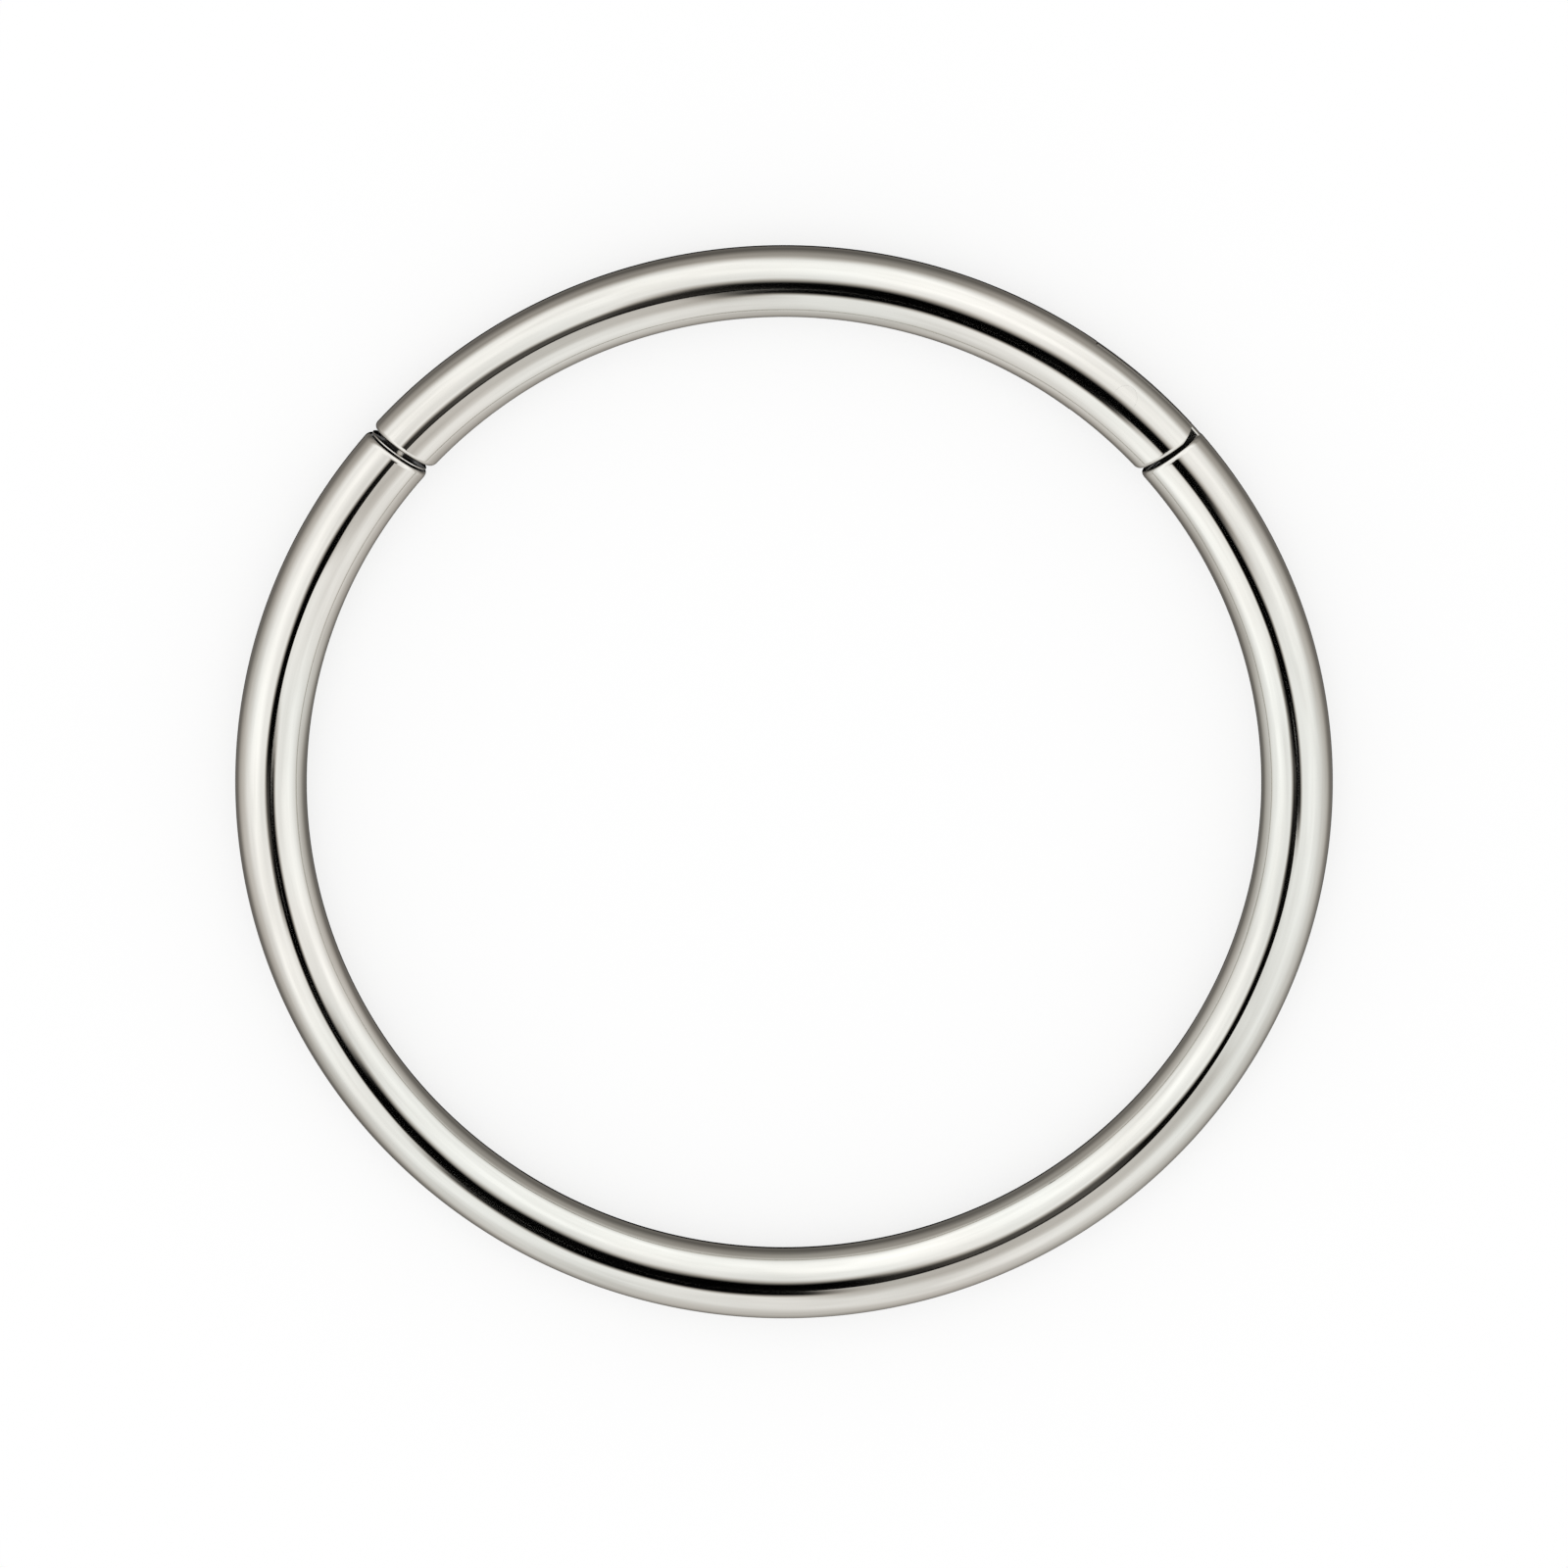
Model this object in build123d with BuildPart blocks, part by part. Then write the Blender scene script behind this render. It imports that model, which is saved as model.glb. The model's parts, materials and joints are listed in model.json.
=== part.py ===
from build123d import *
import os
from math import asin, cos, degrees, hypot, radians, sin, sqrt

# Hinged segment ring: a round wire ring whose segment swings outward on a flush pin
# and closes with a domed stud in a socket. Millimetres and degrees.
# The ring lies flat on Z = 0 with its centre on the Z axis. The middle of the segment
# points toward +Y, its hinge is on the +X side and its latch on the -X side.

# Wire and ring
wire_diameter = 1.2
inner_diameter = 16.0

# Segment. The planes of its two seams pass through the wire's centreline this far apart
# round the ring, and meet on a line this far from the ring's axis.
segment_span = 97.2
seam_meeting = 1.15
body_end_rounding = 0.05
segment_end_rounding = 0.08

# Gaps at the seams. The one at the hinge narrows outward.
hinge_gap_inside = 0.08
hinge_gap_outside = 0.03
latch_gap = 0.13

# Hinge tongue, a flat slab at the end of the ring body
tongue_width = 0.80
tongue_thickness = 0.28
tongue_inset = 0.01
tongue_reach = 0.95
tongue_corner_radius = 0.25
tongue_embed = 0.40

# Hinge pin, fixed in the segment's two cheeks and turning in the tongue
pin_diameter = 0.40
pin_setback = 1.25
pin_offset = 0.20
pin_seat_gap = 0.005
pin_running_clearance = 0.02

# Clearances of the segment's fork round the tongue and past the body's shoulder
slot_side_clearance = 0.02
slot_root_clearance = 0.06
shoulder_swing_clearance = 0.02

# Latch stud, fixed in the segment's free end. Its head is a ball cap, as wide as this at the
# stud's foot, and stands on a thin collar over a short neck.
head_diameter = 0.94
head_height = 0.44
neck_diameter = 0.64
neck_height = 0.07
collar_diameter = 1.09
collar_thickness = 0.03
shank_diameter = 0.50
shank_length = 0.80
stud_seat_gap = 0.005

# Socket in the ring body that takes the stud's head
socket_clearance = 0.02
socket_flare = 42.0

# Allowances past the surface for cuts, along the wire in degrees and otherwise in millimetres
arc_allowance = 5.0
cut_allowance = 0.5

# Sizes and angles that follow from the driving dimensions
wire_radius = wire_diameter / 2
ring_radius = inner_diameter / 2 + wire_radius
hinge_angle = 90 - segment_span / 2
latch_angle = 90 + segment_span / 2
pin_angle = hinge_angle + degrees(pin_setback / ring_radius)
pin_circle_radius = ring_radius + pin_offset
tongue_start = hinge_angle - degrees(tongue_embed / ring_radius)
tongue_end = pin_angle + degrees(tongue_reach / ring_radius)
tongue_side = sqrt(wire_radius**2 - (tongue_thickness / 2) ** 2) - tongue_inset
slot_thickness = tongue_thickness + 2 * slot_side_clearance
slot_root = hypot(tongue_reach, tongue_width / 2) + slot_root_clearance
half_cut = wire_radius + cut_allowance
wedge_reach = inner_diameter + 2 * wire_diameter + cut_allowance


# The direction at an angle round the ring, outward from its axis
def outward(angle):
    return Vector(cos(radians(angle)), sin(radians(angle)), 0)


# A point at the height of the wire's centreline
def level_point(angle, radius):
    return outward(angle) * radius + Vector(0, 0, wire_radius)


# A radial plane across the wire: local X points outward, local Y up
def wire_section(angle):
    across = outward(angle).cross(Vector(0, 0, 1))
    return Plane(origin=level_point(angle, ring_radius), x_dir=outward(angle), z_dir=across)


# A level plane on a seam: local X points outward along the seam, local Y square to it
def seam_plane(angle):
    on_seam = level_point(angle, ring_radius)
    meeting = Vector(0, seam_meeting, wire_radius)
    return Plane(origin=on_seam, x_dir=on_seam - meeting, z_dir=(0, 0, 1))


# The wedge between the two seams, as a triangle on a level plane through the ring's axis
def seam_wedge():
    meeting = Vector(0, seam_meeting)
    hinge_side = meeting + hinge_seam.x_dir * wedge_reach
    latch_side = meeting + latch_seam.x_dir * wedge_reach
    Polygon((0, seam_meeting), (hinge_side.X, hinge_side.Y), (latch_side.X, latch_side.Y), align=None)


hinge_seam = seam_plane(hinge_angle)
latch_seam = seam_plane(latch_angle)
mid_plane = Plane.XY.offset(wire_radius)
past_the_shoulder = Axis(hinge_seam.origin, hinge_seam.y_dir)

# Two level planes on the pin: one turned with the wire there, one turned with the hinge seam
pin_plane = Plane(level_point(pin_angle, pin_circle_radius), x_dir=outward(pin_angle), z_dir=(0, 0, 1))
swing_plane = Plane(pin_plane.origin, x_dir=hinge_seam.x_dir, z_dir=(0, 0, 1))

# The fork's outer corner turns past the body's shoulder within this radius about the pin
fork_swing_radius = hinge_seam.to_local_coords(pin_plane.origin).Y - shoulder_swing_clearance

# The stud stands square on the segment's end, and its head points along local Y of this plane
stud_foot = latch_seam.origin - latch_seam.y_dir * (latch_gap - stud_seat_gap)
stud_plane = Plane(stud_foot, x_dir=latch_seam.x_dir, z_dir=(0, 0, 1))
stud_axis = Axis(stud_plane.origin, stud_plane.y_dir)

# The ball cap rises out of the collar, and the socket's bowl is the same ball plus the
# clearance. The bowl's flare is tangent to it and leans out further than the head moves
# sideways while the segment swings it out.
ball_radius = (head_height**2 + (head_diameter / 2) ** 2) / (2 * head_height)
ball_centre = head_height - ball_radius
collar_top = neck_height + collar_thickness
cap_angle = degrees(asin((collar_top - ball_centre) / ball_radius))
bowl_radius = ball_radius + socket_clearance
flare_sine = sin(radians(socket_flare))
flare_radius = (bowl_radius + ball_centre * flare_sine) / cos(radians(socket_flare))

# Ring body: the long arc of wire, its tongue with the pin's bore, and the stud's socket
with BuildPart() as ring_body:
    with BuildSketch(wire_section(latch_angle - arc_allowance)):
        Circle(wire_radius)
    revolve(axis=Axis.Z, revolution_arc=360 - segment_span + 2 * arc_allowance)
    with BuildSketch(mid_plane):
        seam_wedge()
    extrude(amount=half_cut, both=True, mode=Mode.SUBTRACT)
    fillet(ring_body.faces().filter_by(GeomType.PLANE).edges(), body_end_rounding)
    with BuildSketch(wire_section(tongue_start)):
        with Locations((tongue_side, 0)):
            Rectangle(tongue_width, tongue_thickness, align=(Align.MAX, Align.CENTER))
    revolve(axis=Axis.Z, revolution_arc=tongue_end - tongue_start)
    tip_edges = ring_body.edges().filter_by(Axis.Z).sort_by(past_the_shoulder)[-2:]
    fillet(tip_edges, tongue_corner_radius)
    with BuildSketch(pin_plane):
        Circle(pin_diameter / 2 + pin_running_clearance)
    extrude(amount=half_cut, both=True, mode=Mode.SUBTRACT)
    with BuildSketch(stud_plane):
        with BuildLine():
            bowl = CenterArc((0, ball_centre), bowl_radius, socket_flare, 90 - socket_flare)
            Polyline(bowl @ 0, (flare_radius, 0), (0, 0), bowl @ 1)
        make_face()
    revolve(axis=stud_axis, mode=Mode.SUBTRACT)

# Segment: the short arc of wire with a forked hinge end, the pin's holes and the stud's bore
with BuildPart() as segment:
    with BuildSketch(wire_section(hinge_angle - arc_allowance)):
        Circle(wire_radius)
    revolve(axis=Axis.Z, revolution_arc=segment_span + 2 * arc_allowance)
    with BuildSketch(mid_plane):
        seam_wedge()
    extrude(amount=half_cut, both=True, mode=Mode.INTERSECT)
    with BuildSketch(hinge_seam):
        with BuildLine():
            Polyline(
                (wire_radius, hinge_gap_outside),
                (half_cut, hinge_gap_outside),
                (half_cut, -cut_allowance),
                (-half_cut, -cut_allowance),
                (-half_cut, hinge_gap_inside),
                (-wire_radius, hinge_gap_inside),
                close=True,
            )
        make_face()
    extrude(amount=half_cut, both=True, mode=Mode.SUBTRACT)
    with BuildSketch(latch_seam):
        Rectangle(2 * half_cut, 2 * latch_gap)
    extrude(amount=half_cut, both=True, mode=Mode.SUBTRACT)
    fillet(segment.faces().filter_by(GeomType.PLANE).edges(), segment_end_rounding)
    with BuildSketch(pin_plane):
        with Locations((0, slot_root)):
            Rectangle(
                2 * half_cut,
                slot_root + pin_setback + cut_allowance,
                align=(Align.CENTER, Align.MAX),
            )
    extrude(amount=slot_thickness / 2, both=True, mode=Mode.SUBTRACT)
    with BuildSketch(swing_plane):
        Rectangle(2 * half_cut, pin_setback + cut_allowance, align=(Align.MIN, Align.MAX))
        Circle(fork_swing_radius, mode=Mode.SUBTRACT)
    extrude(amount=half_cut, both=True, mode=Mode.SUBTRACT)
    with BuildSketch(pin_plane):
        Circle(pin_diameter / 2 + pin_seat_gap)
    extrude(amount=half_cut, both=True, mode=Mode.SUBTRACT)
    with BuildSketch(stud_plane):
        Rectangle(
            shank_diameter / 2 + stud_seat_gap,
            shank_length + stud_seat_gap,
            align=(Align.MIN, Align.MAX),
        )
    revolve(axis=stud_axis, mode=Mode.SUBTRACT)

# Hinge pin: a round rod whose two ends follow the wire's own surface
with BuildPart() as hinge_pin:
    with BuildSketch(wire_section(hinge_angle)):
        Circle(wire_radius)
    revolve(axis=Axis.Z, revolution_arc=tongue_end - hinge_angle)
    with BuildSketch(pin_plane):
        Circle(pin_diameter / 2)
    extrude(amount=half_cut, both=True, mode=Mode.INTERSECT)

# Latch stud: a domed head with a collar, a neck and a plain shank
with BuildPart() as latch_stud:
    with BuildSketch(stud_plane):
        with BuildLine():
            dome = CenterArc((0, ball_centre), ball_radius, cap_angle, 90 - cap_angle)
            Polyline(
                dome @ 1,
                (0, -shank_length),
                (shank_diameter / 2, -shank_length),
                (shank_diameter / 2, 0),
                (neck_diameter / 2, 0),
                (neck_diameter / 2, neck_height),
                (collar_diameter / 2, neck_height),
                (collar_diameter / 2, collar_top),
                dome @ 0,
            )
        make_face()
    revolve(axis=stud_axis)

ring_body.part.label = "ring_body"
segment.part.label = "segment"
hinge_pin.part.label = "hinge_pin"
latch_stud.part.label = "latch_stud"

os.makedirs("parts", exist_ok=True)
export_step(ring_body.part, "parts/ring_body.step")
export_step(segment.part, "parts/segment.step")
export_step(hinge_pin.part, "parts/hinge_pin.step")
export_step(latch_stud.part, "parts/latch_stud.step")
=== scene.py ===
import json
from math import acos, asin, atan2, ceil, cos, degrees, hypot, pi, radians, sin, sqrt

import bmesh
import bpy
import numpy as np
from mathutils import Matrix, Vector

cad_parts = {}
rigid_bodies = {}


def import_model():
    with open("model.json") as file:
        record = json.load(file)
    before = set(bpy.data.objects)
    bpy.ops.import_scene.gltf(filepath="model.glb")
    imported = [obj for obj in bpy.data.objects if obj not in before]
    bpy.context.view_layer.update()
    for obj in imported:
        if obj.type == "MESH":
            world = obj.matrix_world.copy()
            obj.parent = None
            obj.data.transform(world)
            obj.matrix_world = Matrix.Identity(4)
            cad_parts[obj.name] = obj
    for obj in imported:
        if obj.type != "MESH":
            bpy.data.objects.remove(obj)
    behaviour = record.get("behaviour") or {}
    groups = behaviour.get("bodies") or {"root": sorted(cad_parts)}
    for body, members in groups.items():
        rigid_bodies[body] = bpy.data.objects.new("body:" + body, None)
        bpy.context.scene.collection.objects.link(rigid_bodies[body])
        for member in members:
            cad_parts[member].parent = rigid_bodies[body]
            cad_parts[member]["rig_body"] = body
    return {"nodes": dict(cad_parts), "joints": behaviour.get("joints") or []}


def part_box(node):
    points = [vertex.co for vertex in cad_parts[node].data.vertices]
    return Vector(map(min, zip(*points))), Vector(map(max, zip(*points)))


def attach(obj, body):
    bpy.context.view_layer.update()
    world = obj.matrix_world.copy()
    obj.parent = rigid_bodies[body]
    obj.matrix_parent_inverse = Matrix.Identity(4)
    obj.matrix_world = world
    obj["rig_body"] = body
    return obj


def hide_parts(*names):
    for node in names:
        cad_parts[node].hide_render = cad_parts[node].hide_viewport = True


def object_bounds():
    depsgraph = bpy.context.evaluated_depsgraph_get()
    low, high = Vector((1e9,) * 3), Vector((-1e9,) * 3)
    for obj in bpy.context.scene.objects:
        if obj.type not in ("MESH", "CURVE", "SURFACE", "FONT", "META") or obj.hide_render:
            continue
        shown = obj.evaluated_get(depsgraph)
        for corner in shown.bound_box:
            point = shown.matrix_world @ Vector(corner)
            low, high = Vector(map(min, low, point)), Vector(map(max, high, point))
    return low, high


# The looks of a hinged segment ring that lies on its side on a pale floor. Shapes are
# worked out in millimetres in the frame's own axes and turned into metres at the end.
# The middle of the segment points toward +Y, with its hinge on the +X side.
MILLIMETRE = 0.001

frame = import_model()
cad_low, cad_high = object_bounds()

# Ring and wire, and the pin's place, from the frame
body_low, body_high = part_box("ring_body")
wire_radius = (body_high.z - body_low.z) / MILLIMETRE / 2
ring_radius = body_high.x / MILLIMETRE - wire_radius
pin_centre = Vector(frame["joints"][0]["pos_m"][:2]) / MILLIMETRE

# Segment: the angle between its seams, and how far from the ring's axis their planes meet
segment_span = 97.2
seam_meeting = 1.15

# Rounding of the wire's ends, across the wire on each piece and along it on both
body_end_rounding = 0.05
segment_end_rounding = 0.08
end_roll = 0.10

# Gaps at the seams. The one at the hinge narrows outward.
hinge_gap_inside = 0.08
hinge_gap_outside = 0.03
latch_gap = 0.13

# Hinge tongue, and the segment's fork round it
tongue_width = 0.80
tongue_thickness = 0.28
tongue_inset = 0.01
tongue_reach = 0.95
tongue_embed = 0.40
tongue_edge_rounding = 0.03
slot_side_clearance = 0.02
slot_root_clearance = 0.02
shoulder_swing_clearance = 0.02

# Hinge pin, how far it stands behind the seam, and its holes in the fork and in the tongue. It
# nearly fills the fork's, so that its flush ends hardly show.
pin_setback = 1.25
pin_seat_radius = 0.205
pin_seat_gap = 0.001
pin_running_radius = 0.22

# Latch stud and its socket
head_diameter = 0.94
head_height = 0.44
neck_diameter = 0.64
neck_height = 0.07
collar_diameter = 1.09
collar_thickness = 0.03
shank_diameter = 0.50
shank_length = 0.80
stud_seat_gap = 0.005
socket_clearance = 0.02
socket_flare = 42.0

# How finely round shapes are divided, and how far cuts run past the surface
sides_round_wire = 120
degrees_for_each_row = 1.0
rows_in_rounding = 8
sides_round_small = 72
steps_over_dome = 16
steps_along_tongue = 24
steps_round_tip = 24
rings_over_pin_end = 5
cut_allowance = 0.5

# Edges turning more than this many degrees stay sharp. A point this near the wire's surface is
# on it, in millimetres. Faces with more square millimetres than this are shaded flat. The last
# value takes the place of a nought that something is divided by.
sharp_angle = 32.0
surface_tolerance = 0.002
flat_face_area = 0.02
almost_zero = 1e-6

# Polished steel outside and finely machined steel inside, and the shares of that roughness
# where it is clean and where it is stained
polished_roughness = 0.045
machined_roughness = 0.10
clean_share = 0.8
stained_share = 1.4

# The steel's colour moves between two shades, and stains dim it by a share
cool_steel = (0.800, 0.795, 0.748)
warm_steel = (0.815, 0.785, 0.733)
stain_shade = (0.40, 0.38, 0.34)
stain_share = 0.28

# Painted shade in crevices and gaps: the colour is darkened toward black where ambient occlusion
# finds walls nearby. How far a wall may stand off, in millimetres, the openness where the painted
# shade starts and where it is full, and the share of colour that stays
painted_shade_reach = 0.22
painted_shade_start = 0.82
painted_shade_full = 0.50
painted_shade_share = 0.04
painted_shade_samples = 4

# On the -X side, at the latch's gap, the painted crevice shade is left off near the top of the
# wire, so that the gap stays bright there: degrees round the wire from its top where the painted
# shade starts and where it is full
latch_unshaded_top = (4.0, 12.0)

# Marks in the steel: cells of noise to a millimetre across the wire and along it, detail, and
# an offset that sets them apart
tint_marks = (0.8, 0.20, 2.0, 0.0)
stain_marks = (3.4, 0.30, 3.0, 7.0)
wave_marks = (2.1, 0.28, 1.0, 23.0)
ripple_marks = (7.0, 0.55, 1.0, 31.0)

# Values of the noise between which the steel goes from cool to warm and from clean to stained
tint_bounds = (0.35, 0.65)
stain_bounds = (0.38, 0.72)

# Heights of the marks that bend the reflections, in millimetres
wave_height = 0.0160
ripple_height = 0.0016

# Floor and lamp, in metres and watts. The floor is a pale panel lit from below.
floor_size = 4.0
floor_white = 0.30
floor_glow = 0.69
lamp_size = 0.5
lamp_power = 0.35
lamp_place = Vector((-0.1, 0.25, 0.6))

# Light of the tent in three parts, toward +Y, toward -Y and at the sides. Each goes from one
# share of light near the top to another lower down, between two bounds in degrees from
# straight up, and then falls away twice: start and end of each fall, and the share left.
tent_north = (0.97, 1.20, 18.0, 50.0)
tent_sides = (0.97, 1.20, 22.0, 52.0)
tent_south = (0.80, 0.94, 32.0, 60.0)
falls_north = ((76.0, 106.0, 0.29), (106.0, 140.0, 0.32))
falls_sides = ((52.0, 112.0, 0.45), (100.0, 138.0, 0.30))
falls_south = ((66.0, 112.0, 0.72), (100.0, 142.0, 0.52))
fall_down = (157.0, 167.0, 0.0)

# Where the part toward +Y takes over, by the direction's own Y, and where the part toward -Y
# does, by how far a direction leans toward a bearing in degrees
north_bounds = (0.25, 0.75)
south_bearing = -72.0
south_bounds = (0.35, 0.75)

# The tent's dark opening for the camera. Its leaves spread from a foot this many degrees toward
# +Y from straight up, round a small dark core with this radius. Each leaf: its bearing from +X,
# half its spread and its length, in degrees, and the share of light that it takes.
opening_foot = -12.5
opening_core = 1.7
opening_leaves = (
    (66.0, 38.0, 26.5, 1.0),
    (18.0, 24.0, 13.5, 1.0),
    (116.0, 20.0, 18.5, 0.92),
    (156.0, 24.0, 16.5, 1.0),
    (182.0, 14.0, 15.5, 0.9),
    (208.0, 24.0, 8.0, 1.0),
    (252.0, 25.0, 20.0, 1.0),
    (300.0, 28.0, 33.0, 0.34),
)

# Shares of the core's radius, a leaf's length and half its spread between which the dark ends
core_fade = (0.5, 1.5)
leaf_fade = (0.62, 1.38)
bearing_fade = (0.8, 1.2)

# Unevenness of the tent: cells of noise to a whole turn, its detail and its middle value, and
# the share of light it moves
uneven_cells = 2.2
uneven_detail = 3.0
uneven_middle = 0.5
uneven_share = 0.45

# Tint of the tent where it is bright and where it is dark, and the light between the two
tent_shade = (0.985, 1.0, 1.01)
under_shade = (1.06, 1.0, 0.93)
shade_bounds = (0.1, 1.1)

# Plain light behind the ring, and on steel that shows only in other steel. A mirrored ray that
# reaches the studio below this depth meets the painted tent instead.
backdrop_light = 0.97
later_light = 0.70
first_mirror_depth = 2.5

# The camera leans from straight above toward +Y, which is up in its picture. The ring takes
# up this share of the picture's width. The view ends this many metres away.
camera_lean = 12.5
lens = 600.0
sensor_width = 36.0
ring_share = 0.70
view_end = 100.0

# Sizes and angles that follow from these
hinge_angle = 90 - segment_span / 2
latch_angle = 90 + segment_span / 2
pin_angle = hinge_angle + degrees(pin_setback / ring_radius)
half_cut = wire_radius + cut_allowance
sharp_cosine = cos(radians(sharp_angle))
full_turn = 2 * pi


# A point round the ring, on the level plane through the wire's centreline
def round_ring(angle, radius):
    return Vector((radius * cos(radians(angle)), radius * sin(radians(angle)), wire_radius))


# A level place to build on: an origin, local X and local Y square to it, counter-clockwise
class Place:
    def __init__(self, origin, x_direction):
        self.origin = origin
        self.x = Vector((x_direction.x, x_direction.y, 0)).normalized()
        self.y = Vector((-self.x.y, self.x.x, 0))

    def point(self, x, y, z=0.0):
        return self.origin + self.x * x + self.y * y + Vector((0, 0, z))


# A seam's place on the wire's centreline: local X points outward along the seam
def seam(angle):
    on_seam = round_ring(angle, ring_radius)
    return Place(on_seam, on_seam - Vector((0, seam_meeting, 0)))


hinge_seam = seam(hinge_angle)
latch_seam = seam(latch_angle)
pin_origin = Vector((pin_centre.x, pin_centre.y, wire_radius))
pin_place = Place(pin_origin, round_ring(pin_angle, ring_radius))
swing_place = Place(pin_origin, hinge_seam.x)
stud_place = Place(latch_seam.point(0, stud_seat_gap - latch_gap), latch_seam.x)


# Makes an object of a list of points and faces
def mesh_object(name, points, faces):
    mesh = bpy.data.meshes.new(name)
    mesh.from_pydata([tuple(p) for p in points], [], faces)
    mesh.validate()
    thing = bpy.data.objects.new(name, mesh)
    bpy.context.scene.collection.objects.link(thing)
    return thing


# Quads between neighbouring closed rows, with a flat face over the first and the last row
def tube_faces(row_count, row_length):
    faces = [tuple(reversed(range(row_length)))]
    for row in range(row_count - 1):
        for i in range(row_length):
            j = (i + 1) % row_length
            a, b = row * row_length, (row + 1) * row_length
            faces.append((a + i, a + j, b + j, b + i))
    last = (row_count - 1) * row_length
    faces.append(tuple(range(last, last + row_length)))
    return faces


# The same directions as vectors of length one
def unit(vectors):
    return vectors / np.linalg.norm(vectors, axis=-1, keepdims=True)


# Rows of points that roll the wire off into a flat end, over more length along the wire than
# across it. The end's plane stands on the level line through a point and a direction. The
# first row lies on the wire's own surface.
def rounded_end(point, direction, into_wire, rounding):
    around = np.arange(sides_round_wire) * full_turn / sides_round_wire
    up, out = np.sin(around), np.cos(around)
    start = np.array(point[:2])
    along = unit(np.array(direction[:2]))
    reach = ring_radius + wire_radius * out
    offset = start @ along
    travel = np.sqrt(offset**2 - start @ start + reach**2) - offset
    level = start + travel[:, None] * along
    edge = np.column_stack([level, wire_radius + wire_radius * up])
    turn = np.arctan2(level[:, 1], level[:, 0])
    skin = np.column_stack([out * np.cos(turn), out * np.sin(turn), up])
    inward = np.array([into_wire.x, into_wire.y, 0.0])
    inward = unit(inward - np.append(along, 0.0) * (inward[:2] @ along))
    down_wire = np.cross(skin, unit(np.cross(inward, skin)))
    down_wire *= np.sign(down_wire @ inward)[:, None]
    to_middle = -unit(skin - (skin @ inward)[:, None] * inward)
    rows = []
    for k in range(rows_in_rounding + 1):
        a = pi / 2 * k / rows_in_rounding
        roll = end_roll * (1 - sin(a)) * down_wire
        rows.append(edge + roll + rounding * (1 - cos(a)) * to_middle)
    return rows


# Angle round the ring and angle round the wire of each point
def wire_angles(points):
    turn = np.arctan2(points[:, 1], points[:, 0])
    out = np.hypot(points[:, 0], points[:, 1]) - ring_radius
    around = np.arctan2(points[:, 2] - wire_radius, out)
    return np.unwrap(turn), np.unwrap(around)


# Points on the wire's surface at those angles
def on_wire(turn, around):
    reach = ring_radius + wire_radius * np.cos(around)
    height = wire_radius + wire_radius * np.sin(around)
    return np.column_stack([reach * np.cos(turn), reach * np.sin(turn), height])


# A length of wire, counter-clockwise from one rounded end to the other
def wire_piece(name, first_rows, last_rows):
    first_turn, first_around = wire_angles(first_rows[0])
    last_turn, last_around = wire_angles(last_rows[0])
    turns_behind = np.ceil((first_turn.mean() - last_turn.mean()) / full_turn)
    last_turn = last_turn + full_turn * turns_behind
    turns_apart = np.round((first_around - last_around) / full_turn)
    last_around = last_around + full_turn * turns_apart
    row_count = ceil(degrees(last_turn.mean() - first_turn.mean()) / degrees_for_each_row)
    rows = list(reversed(first_rows[1:]))
    for k in range(row_count + 1):
        t = k / row_count
        turn = (1 - t) * first_turn + t * last_turn
        around = (1 - t) * first_around + t * last_around
        rows.append(on_wire(turn, around))
    rows += last_rows[1:]
    return mesh_object(name, np.concatenate(rows), tube_faces(len(rows), sides_round_wire))


# A level slab with the outline's shape, from one height to another
def slab(name, outline, low, high):
    points = [Vector((p.x, p.y, z)) for z in (low, high) for p in outline]
    return mesh_object(name, points, tube_faces(2, len(outline)))


# A solid turned about a place's local Y axis. The profile's points are radius and height,
# and the first and the last of them lie on the axis.
def turned(name, place, profile):
    points = []
    for radius, height in profile[1:-1]:
        for k in range(sides_round_small):
            a = full_turn * k / sides_round_small
            points.append(place.point(radius * cos(a), height, -radius * sin(a)))
    row_count = len(profile) - 2
    faces = tube_faces(row_count, sides_round_small)[1:-1]
    for end, row in ((profile[0], 0), (profile[-1], row_count - 1)):
        tip = len(points)
        points.append(place.point(0, end[1]))
        for k in range(sides_round_small):
            pair = [row * sides_round_small + i % sides_round_small for i in (k, k + 1)]
            faces.append((*(reversed(pair) if row == 0 else pair), tip))
    return mesh_object(name, points, faces)


# Part of a level circle about a place's origin, as points
def arc(place, radius, first, last, steps):
    angles = [radians(first + (last - first) * k / steps) for k in range(steps + 1)]
    return [place.point(radius * cos(a), radius * sin(a)) for a in angles]


# A whole level circle
def disc(place, radius):
    return arc(place, radius, 0, 360, sides_round_small)[:-1]


# Turns an object's faces so that they all point outward
def outward_faces(thing):
    work = bmesh.new()
    work.from_mesh(thing.data)
    bmesh.ops.recalc_face_normals(work, faces=work.faces)
    work.to_mesh(thing.data)
    work.free()


# Joins a tool to a piece or cuts it away, and removes the tool
def combine(piece, tool, operation):
    for thing in (piece, tool):
        outward_faces(thing)
    modifier = piece.modifiers.new("combine", "BOOLEAN")
    modifier.operation = operation
    modifier.solver = "EXACT"
    modifier.object = tool
    evaluated = piece.evaluated_get(bpy.context.evaluated_depsgraph_get())
    mesh = bpy.data.meshes.new_from_object(evaluated)
    piece.modifiers.clear()
    piece.data = mesh
    bpy.data.objects.remove(tool)


# Cuts a level outline out of a piece, right through the wire or from one height to another
def cut_level(piece, name, outline, low=-cut_allowance, high=2 * wire_radius + cut_allowance):
    combine(piece, slab(name, outline, low, high), "DIFFERENCE")


# A value or a vector for each of a mesh's points, corners or faces, as an array
def mesh_array(items, key, width=1, kind=float):
    values = np.empty(len(items) * width, kind)
    items.foreach_get(key, values)
    return values.reshape(-1, width) if width > 1 else values


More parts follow.
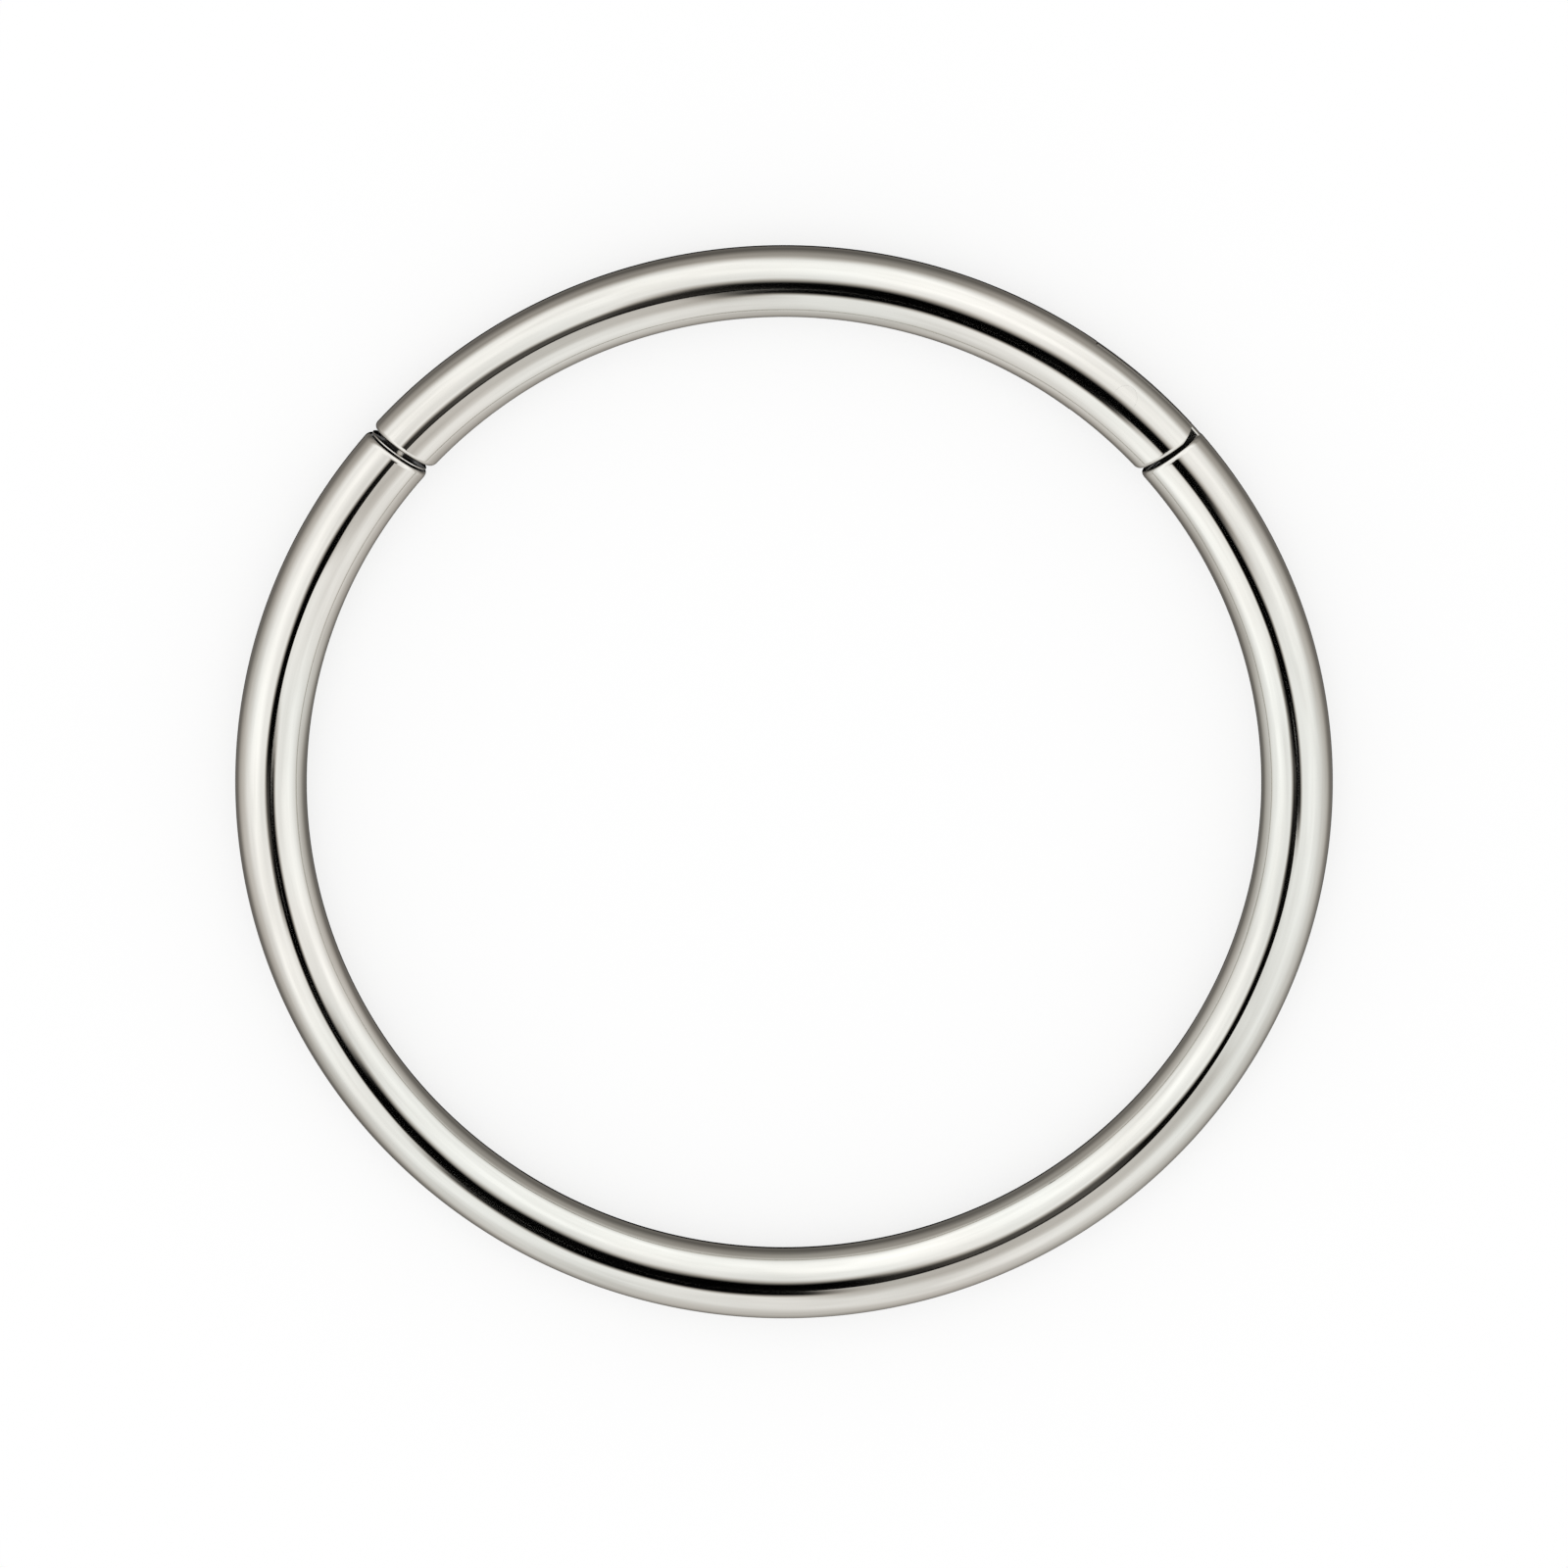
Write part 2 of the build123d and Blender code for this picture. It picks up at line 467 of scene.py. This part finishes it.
# Vectors to points from the wire's centreline, and their lengths
def from_centreline(points):
    turn = np.arctan2(points[:, 1], points[:, 0])
    spoke = np.column_stack([np.cos(turn), np.sin(turn), np.zeros(len(turn))])
    across = points - spoke * ring_radius - np.array([0, 0, wire_radius])
    return across, np.linalg.norm(across, axis=1)


# Shading normals of a mesh's corners. Those on the wire's round surface get the exact normal of
# that surface, and those on a large flat face, or smoothly beside one, get that face's.
def shading_normals(mesh, points):
    corner_point = mesh_array(mesh.loops, "vertex_index", kind=int)
    corner_count = mesh_array(mesh.polygons, "loop_total", kind=int)
    corner_face = np.repeat(np.arange(len(corner_count)), corner_count)
    flat = mesh_array(mesh.polygons, "normal", 3)[corner_face]
    normals = mesh_array(mesh.corner_normals, "vector", 3)
    across, distance = from_centreline(points)
    skin = (across / np.maximum(distance, almost_zero)[:, None])[corner_point]
    on_skin = (np.abs(distance - wire_radius) < surface_tolerance)[corner_point]
    exact = on_skin & (np.sum(skin * flat, axis=1) > sharp_cosine)
    normals[exact] = skin[exact]
    large = mesh_array(mesh.polygons, "area") > flat_face_area
    facing = {}
    for corner in np.flatnonzero(large[corner_face]):
        facing.setdefault(corner_point[corner], []).append(flat[corner])
    for corner in np.flatnonzero(np.isin(corner_point, list(facing))):
        for direction in facing[corner_point[corner]]:
            if direction @ flat[corner] > sharp_cosine:
                normals[corner] = direction
    return normals


# Gives a finished piece smooth shading and its materials, the second one to the faces inside
# it, and turns it into metres
def finish_piece(piece, materials):
    outward_faces(piece)
    mesh = piece.data
    for material in materials:
        mesh.materials.append(material)
    mesh.shade_smooth()
    mesh.set_sharp_from_angle(angle=radians(sharp_angle))
    points = mesh_array(mesh.vertices, "co", 3)
    normals = shading_normals(mesh, points)
    distance = from_centreline(mesh_array(mesh.polygons, "center", 3))[1]
    inside = distance < wire_radius - segment_end_rounding - surface_tolerance
    mesh.polygons.foreach_set("material_index", inside.astype(np.int32))
    mesh.vertices.foreach_set("co", (points * MILLIMETRE).ravel())
    mesh.normals_split_custom_set(normals)
    mesh.update()


# The long arc of wire, with the tongue and the pin's bore at one end and the socket at the other
def make_ring_body():
    first = rounded_end(latch_seam.origin, latch_seam.x, latch_seam.y, body_end_rounding)
    last = rounded_end(hinge_seam.origin, hinge_seam.x, -hinge_seam.y, body_end_rounding)
    body = wire_piece("ring_body_wire", first, last)
    combine(body, tongue(), "UNION")
    cut_level(body, "pin_bore", disc(pin_place, pin_running_radius))
    combine(body, socket(), "DIFFERENCE")
    return body


# A flat slab bent with the wire, with rounded edges, a tip that is round about the pin and its
# root inside the wire. Its outer side is as round as the wire.
def tongue():
    half = tongue_thickness / 2
    edge = tongue_edge_rounding
    upper = [((half - edge) * k / rows_in_rounding, 0.0) for k in range(rows_in_rounding)]
    for k in range(rows_in_rounding + 1):
        a = pi / 2 * k / rows_in_rounding
        upper.append((half - edge * (1 - sin(a)), edge * (1 - cos(a))))
    levels = [(-height, margin) for height, margin in reversed(upper[1:])] + upper
    rows = [tongue_outline(height, margin) for height, margin in levels]
    points = [point for row in rows for point in row]
    return mesh_object("tongue", points, tube_faces(len(rows), len(rows[0])))


# The tongue's outline at a height from the wire's centreline, drawn in by a margin
def tongue_outline(height, margin):
    flank = ring_radius + sqrt(wire_radius**2 - (tongue_thickness / 2) ** 2) - tongue_inset
    outer = ring_radius + sqrt(wire_radius**2 - height**2) - tongue_inset - margin
    inner = flank - tongue_width + margin
    root = radians(hinge_angle) - tongue_embed / ring_radius
    tip_radius = tongue_reach - margin

    def side(reach, corner):
        end = atan2(corner.y, corner.x)
        shares = [k / steps_along_tongue for k in range(steps_along_tongue)]
        turns = [root + (end - root) * share for share in shares]
        return [(reach * cos(turn), reach * sin(turn)) for turn in turns]

    first, last = (tip_angle(reach, tip_radius) for reach in (outer, inner))
    tip = arc(pin_place, tip_radius, first, last, steps_round_tip)
    outline = side(outer, tip[0]) + [(p.x, p.y) for p in tip] + side(inner, tip[-1])[::-1]
    return [Vector((x, y, wire_radius + height)) for x, y in outline]


# Where a circle about the pin meets one about the ring's axis, in degrees round the pin
def tip_angle(reach, radius):
    pin_reach = pin_centre.length
    return degrees(acos((reach**2 - pin_reach**2 - radius**2) / (2 * pin_reach * radius)))


# The ball that the stud's head is cut from: its radius and its centre's height over the foot
ball_radius = (head_height**2 + (head_diameter / 2) ** 2) / (2 * head_height)
ball_centre = head_height - ball_radius


# Points on a ball about the stud's axis, from an angle above its equator up to its pole
def ball_profile(radius, first_angle):
    rise = (90 - first_angle) / steps_over_dome
    angles = [radians(first_angle + rise * k) for k in range(steps_over_dome + 1)]
    return [(radius * cos(a), ball_centre + radius * sin(a)) for a in angles]


# The hollow for the stud's head: a bowl that flares toward its mouth
def socket():
    bowl_radius = ball_radius + socket_clearance
    flare = radians(socket_flare)
    mouth = (bowl_radius + ball_centre * sin(flare)) / cos(flare)
    profile = [(0, 0), (mouth, 0), *ball_profile(bowl_radius, socket_flare)]
    return turned("socket", stud_place, profile)


# The short arc of wire: a fork round the tongue at one end, and the stud's bore at the other
def make_segment():
    inner = hinge_seam.point(-wire_radius, hinge_gap_inside)
    outer = hinge_seam.point(wire_radius, hinge_gap_outside)
    latch_end = latch_seam.point(0, -latch_gap)
    first = rounded_end(inner, outer - inner, hinge_seam.y, segment_end_rounding)
    last = rounded_end(latch_end, latch_seam.x, -latch_seam.y, segment_end_rounding)
    arm = wire_piece("segment_wire", first, last)
    cut_fork(arm)
    cut_level(arm, "pin_holes", disc(pin_place, pin_seat_radius))
    radius = shank_diameter / 2 + stud_seat_gap
    bottom = -shank_length - stud_seat_gap
    top = cut_allowance
    profile = [(0, bottom), (radius, bottom), (radius, top), (0, top)]
    combine(arm, turned("stud_bore", stud_place, profile), "DIFFERENCE")
    return arm


# Cuts the slot for the tongue, and the corner off that would strike the body as the fork swings
def cut_fork(arm):
    back = -pin_setback - cut_allowance
    slot_half = tongue_thickness / 2 + slot_side_clearance
    corners = ((-half_cut, back), (half_cut, back), (half_cut, 0))
    outline = [pin_place.point(x, y) for x, y in corners]
    outline += arc(pin_place, tongue_reach + slot_root_clearance, 0, 180, sides_round_small)
    outline.append(pin_place.point(-half_cut, 0))
    cut_level(arm, "slot", outline, wire_radius - slot_half, wire_radius + slot_half)
    swing = (pin_origin - hinge_seam.origin).dot(hinge_seam.y) - shoulder_swing_clearance
    corners = ((0, back), (2 * half_cut, back), (2 * half_cut, 0))
    outline = arc(swing_place, swing, 0, -90, sides_round_small)
    outline += [swing_place.point(x, y) for x, y in corners]
    cut_level(arm, "swing_room", outline)


# A round rod whose two ends follow the wire's surface
def make_hinge_pin():
    step = (pin_seat_radius - pin_seat_gap) / rings_over_pin_end
    rings = [disc(pin_place, step * (k + 1)) for k in range(rings_over_pin_end)]
    points = []
    for side, order in ((-1, rings), (1, rings[::-1])):
        points += [Vector((p.x, p.y, wire_height(p, side))) for ring in order for p in ring]
    faces = tube_faces(2 * rings_over_pin_end, sides_round_small)
    return mesh_object("hinge_pin_rod", points, faces)


# Height of the wire's surface over or under a point
def wire_height(p, side):
    offset = hypot(p.x, p.y) - ring_radius
    return wire_radius + side * sqrt(wire_radius**2 - offset**2)


# A domed head on a thin collar with a round rim, a neck and a plain shank
def make_latch_stud():
    shank = shank_diameter / 2
    neck = neck_diameter / 2
    rim = collar_thickness / 2
    profile = [(0, -shank_length), (shank, -shank_length), (shank, 0)]
    profile += [(neck, 0), (neck, neck_height)]
    for k in range(rows_in_rounding + 1):
        a = pi * k / rows_in_rounding - pi / 2
        radius = collar_diameter / 2 - rim + rim * cos(a)
        profile.append((radius, neck_height + rim + rim * sin(a)))
    top = neck_height + collar_thickness
    cap = degrees(asin((top - ball_centre) / ball_radius))
    profile += ball_profile(ball_radius, cap)
    return turned("latch_stud_turned", stud_place, profile)


# Builds formulas out of shader nodes: each call adds one node and returns its result
class Formula:
    def __init__(self, tree):
        self.tree = tree

    def node(self, kind, inputs=(), **settings):
        made = self.tree.nodes.new(kind)
        for key, value in settings.items():
            setattr(made, key, value)
        for key, value in dict(inputs).items():
            if isinstance(value, bpy.types.NodeSocket):
                self.tree.links.new(value, made.inputs[key])
            else:
                made.inputs[key].default_value = value
        return made

    def math(self, operation, *values):
        return self.node("ShaderNodeMath", enumerate(values), operation=operation).outputs[0]

    def add(self, a, b):
        return self.math("ADD", a, b)

    def times(self, a, b):
        return self.math("MULTIPLY", a, b)

    def less(self, a, b):
        return self.math("SUBTRACT", a, b)

    # The length of a level vector
    def length(self, a, b):
        return self.math("SQRT", self.add(self.times(a, a), self.times(b, b)))

    # How far a level vector reaches toward a bearing in degrees
    def toward(self, bearing, a, b):
        c, s = cos(radians(bearing)), sin(radians(bearing))
        return self.add(self.times(a, c), self.times(b, s))

    # A smooth step from low to high as a value goes from one bound to the other
    def ramp(self, value, start, end, low=0.0, high=1.0):
        inputs = {"Value": value, "From Min": start, "From Max": end}
        inputs.update({"To Min": low, "To Max": high})
        made = self.node("ShaderNodeMapRange", inputs, interpolation_type="SMOOTHSTEP")
        return made.outputs["Result"]

    # A blend of two numbers
    def between(self, share, low, high):
        inputs = {"Factor": share, "A": low, "B": high}
        return self.node("ShaderNodeMix", inputs, data_type="FLOAT").outputs["Result"]

    # A blend of two colours
    def tint(self, share, low, high):
        inputs = {0: share, 6: low, 7: high}
        return self.node("ShaderNodeMix", inputs, data_type="RGBA").outputs[2]


# Steel whose marks run along the wire: they follow the angle round the wire and the angle round
# the ring, and close on themselves both ways
def steel(name, roughness):
    material = bpy.data.materials.new(name)
    material.use_nodes = True
    tree = material.node_tree
    f = Formula(tree)
    shader = tree.nodes["Principled BSDF"]
    place = f.node("ShaderNodeTexCoord").outputs["Object"]
    split = f.node("ShaderNodeSeparateXYZ", {0: place}).outputs
    x, y, z = (f.times(split[k], 1 / MILLIMETRE) for k in range(3))
    turn = f.math("ARCTAN2", y, x)
    around = f.math("ARCTAN2", f.less(z, wire_radius), f.less(f.length(x, y), ring_radius))
    # Which way the surface faces across the wire, and which way it lies from the ring's axis
    out, up = (f.math(kind, around) for kind in ("COSINE", "SINE"))
    east, north = (f.math(kind, turn) for kind in ("COSINE", "SINE"))

    def marks(across, along, detail, offset):
        across_cells, along_cells = across * wire_radius, along * ring_radius
        placed = [f.times(circle, across_cells) for circle in (out, up)]
        placed += [f.times(circle, along_cells) for circle in (east, north)]
        vector = f.node("ShaderNodeCombineXYZ", enumerate(placed[:3])).outputs[0]
        inputs = {"Vector": vector, "W": f.add(placed[3], offset), "Scale": 1.0, "Detail": detail}
        return f.node("ShaderNodeTexNoise", inputs, noise_dimensions="4D").outputs[0]

    shade = f.tint(f.ramp(marks(*tint_marks), *tint_bounds), (*cool_steel, 1), (*warm_steel, 1))
    stain = f.ramp(marks(*stain_marks), *stain_bounds)
    colour = f.tint(f.times(stain, stain_share), shade, (*stain_shade, 1))
    # Painted shade: the steel's colour goes nearly black in crevices and gaps, found by ambient
    # occlusion
    nearby = {"Distance": painted_shade_reach * MILLIMETRE}
    occlusion = f.node("ShaderNodeAmbientOcclusion", nearby, samples=painted_shade_samples)
    openness = occlusion.outputs["AO"]
    painted_crevice_shade = f.ramp(openness, painted_shade_full, painted_shade_start, 1.0 - painted_shade_share, 0.0)
    start, end = (cos(radians(angle)) for angle in latch_unshaded_top)
    painted_shade_kept = f.math("MAXIMUM", f.ramp(up, start, end), f.math("GREATER_THAN", x, 0.0))
    colour = f.tint(f.times(painted_crevice_shade, painted_shade_kept), colour, (0, 0, 0, 1))
    tree.links.new(colour, shader.inputs["Base Color"])
    stained = f.between(stain, clean_share * roughness, stained_share * roughness)
    tree.links.new(stained, shader.inputs["Roughness"])
    waves = f.times(marks(*wave_marks), wave_height)
    height = f.add(waves, f.times(marks(*ripple_marks), ripple_height))
    bump = f.node("ShaderNodeBump", {"Height": height, "Strength": 1.0, "Distance": MILLIMETRE})
    tree.links.new(bump.outputs[0], shader.inputs["Normal"])
    shader.inputs["Metallic"].default_value = 1.0
    return material


# A pale panel that the ring lies on, lit from below so that shadows stay faint. Reflections in
# the ring pass it by and show the studio's darker lower half.
def make_floor():
    half = floor_size / 2
    corners = [(-half, -half, 0), (half, -half, 0), (half, half, 0), (-half, half, 0)]
    floor = mesh_object("floor", corners, [(0, 1, 2, 3)])
    material = bpy.data.materials.new("pale_floor")
    material.use_nodes = True
    shader = material.node_tree.nodes["Principled BSDF"]
    shader.inputs["Base Color"].default_value = (floor_white, floor_white, floor_white, 1)
    shader.inputs["Roughness"].default_value = 1.0
    shader.inputs["Specular IOR Level"].default_value = 0.0
    shader.inputs["Emission Color"].default_value = (1, 1, 1, 1)
    shader.inputs["Emission Strength"].default_value = floor_glow
    floor.data.materials.append(material)
    floor.visible_glossy = False


# The studio as the ring reflects it, by direction: a bright tent overhead, brightest toward
# +Y, that darkens past the horizon, with a dark opening in it for the camera
def make_studio():
    world = bpy.data.worlds.new("studio")
    bpy.context.scene.world = world
    world.use_nodes = True
    tree = world.node_tree
    f = Formula(tree)
    direction = f.node("ShaderNodeTexCoord").outputs["Generated"]
    x, y, z = f.node("ShaderNodeSeparateXYZ", {0: direction}).outputs
    from_top = f.times(f.math("ARCCOSINE", z), degrees(1))
    light = tent_light(f, direction, x, y, from_top)
    level = f.math("MAXIMUM", f.length(x, y), almost_zero)
    east, north = (f.times(f.math("DIVIDE", part, level), from_top) for part in (x, y))
    light = darken_opening(f, light, east, f.less(north, opening_foot))
    shade = f.tint(f.ramp(light, *shade_bounds), (*under_shade, 1), (*tent_shade, 1))
    painted = f.node("ShaderNodeBackground", {"Color": shade, "Strength": light}).outputs[0]
    path = f.node("ShaderNodeLightPath").outputs
    mirrored = path["Is Glossy Ray"]
    strength = f.between(mirrored, backdrop_light, later_light)
    white = {"Color": (1, 1, 1, 1), "Strength": strength}
    plain = f.node("ShaderNodeBackground", white).outputs[0]
    first_mirror = f.math("LESS_THAN", path["Ray Depth"], first_mirror_depth)
    surfaces = {0: f.times(mirrored, first_mirror), 1: plain, 2: painted}
    surface = f.node("ShaderNodeMixShader", surfaces).outputs[0]
    tree.links.new(surface, tree.nodes["World Output"].inputs["Surface"])


# The tent's light toward a direction, before its opening is taken out
def tent_light(f, direction, x, y, from_top):
    def part(near_top, lower, start, end, falls):
        light = f.ramp(from_top, start, end, near_top, lower)
        for first, last, left in falls:
            light = f.times(light, f.ramp(from_top, first, last, 1.0, left))
        return light

    north, sides, south = (
        part(*tent, falls)
        for tent, falls in (
            (tent_north, falls_north),
            (tent_sides, falls_sides),
            (tent_south, falls_south),
        )
    )
    light = f.between(f.ramp(y, *north_bounds), sides, north)
    leaning_south = f.toward(south_bearing, x, y)
    light = f.between(f.ramp(leaning_south, *south_bounds), light, south)
    start, end, left = fall_down
    light = f.times(light, f.ramp(from_top, start, end, 1.0, left))
    noise = {"Vector": direction, "Scale": uneven_cells, "Detail": uneven_detail}
    uneven = f.less(f.node("ShaderNodeTexNoise", noise).outputs[0], uneven_middle)
    return f.times(light, f.add(1.0, f.times(uneven, uneven_share)))


# Light with the opening taken out, at these degrees toward +X and +Y from the opening's foot
def darken_opening(f, light, east, north):
    away = f.length(east, north)
    start, end = (share * opening_core for share in core_fade)
    light = f.times(light, f.ramp(away, start, end))
    divisor = f.math("MAXIMUM", away, almost_zero)
    for bearing, half_spread, length, share in opening_leaves:
        cosine = f.math("DIVIDE", f.toward(bearing, east, north), divisor)
        apart = f.times(f.math("ARCCOSINE", cosine), degrees(1) / half_spread)
        in_spread = f.ramp(apart, *bearing_fade, share, 0.0)
        in_length = f.ramp(f.times(away, 1 / length), *leaf_fade, 1.0, 0.0)
        light = f.times(light, f.less(1.0, f.times(in_spread, in_length)))
    return light


# A wide soft lamp overhead that lights the floor and isn't mirrored in the steel
def make_lamp():
    light = bpy.data.lights.new("soft_lamp", "AREA")
    light.shape = "DISK"
    light.size = lamp_size
    light.energy = lamp_power
    lamp = bpy.data.objects.new("soft_lamp", light)
    lamp.location = lamp_place
    lamp.rotation_euler = (-lamp_place).to_track_quat("-Z", "Y").to_euler()
    lamp.visible_glossy = False
    bpy.context.scene.collection.objects.link(lamp)


# A long lens far away, so that the ring shows almost without perspective
def make_camera():
    lean = radians(camera_lean)
    back = Vector((0, sin(lean), cos(lean)))
    up = Vector((0, cos(lean), -sin(lean)))
    data = bpy.data.cameras.new("camera")
    data.lens = lens
    data.sensor_width = sensor_width
    data.clip_start = MILLIMETRE
    data.clip_end = view_end
    camera = bpy.data.objects.new("camera", data)
    distance = (cad_high.x - cad_low.x) / ring_share * lens / sensor_width
    centre = Vector((0, 0, wire_radius * MILLIMETRE))
    turn = Matrix((Vector((1, 0, 0)), up, back)).transposed().to_4x4()
    camera.matrix_world = Matrix.Translation(centre + back * distance) @ turn
    bpy.context.scene.collection.objects.link(camera)
    bpy.context.scene.camera = camera


wire_steel = steel("polished_steel", polished_roughness)
inner_steel = steel("machined_steel", machined_roughness)
makers = {
    "ring_body": make_ring_body,
    "segment": make_segment,
    "hinge_pin": make_hinge_pin,
    "latch_stud": make_latch_stud,
}
for node, make in makers.items():
    piece = make()
    finish_piece(piece, (wire_steel, inner_steel))
    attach(piece, frame["nodes"][node]["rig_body"])
    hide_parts(node)

make_floor()
make_studio()
make_lamp()
make_camera()
bpy.context.scene.view_settings.view_transform = "Standard"
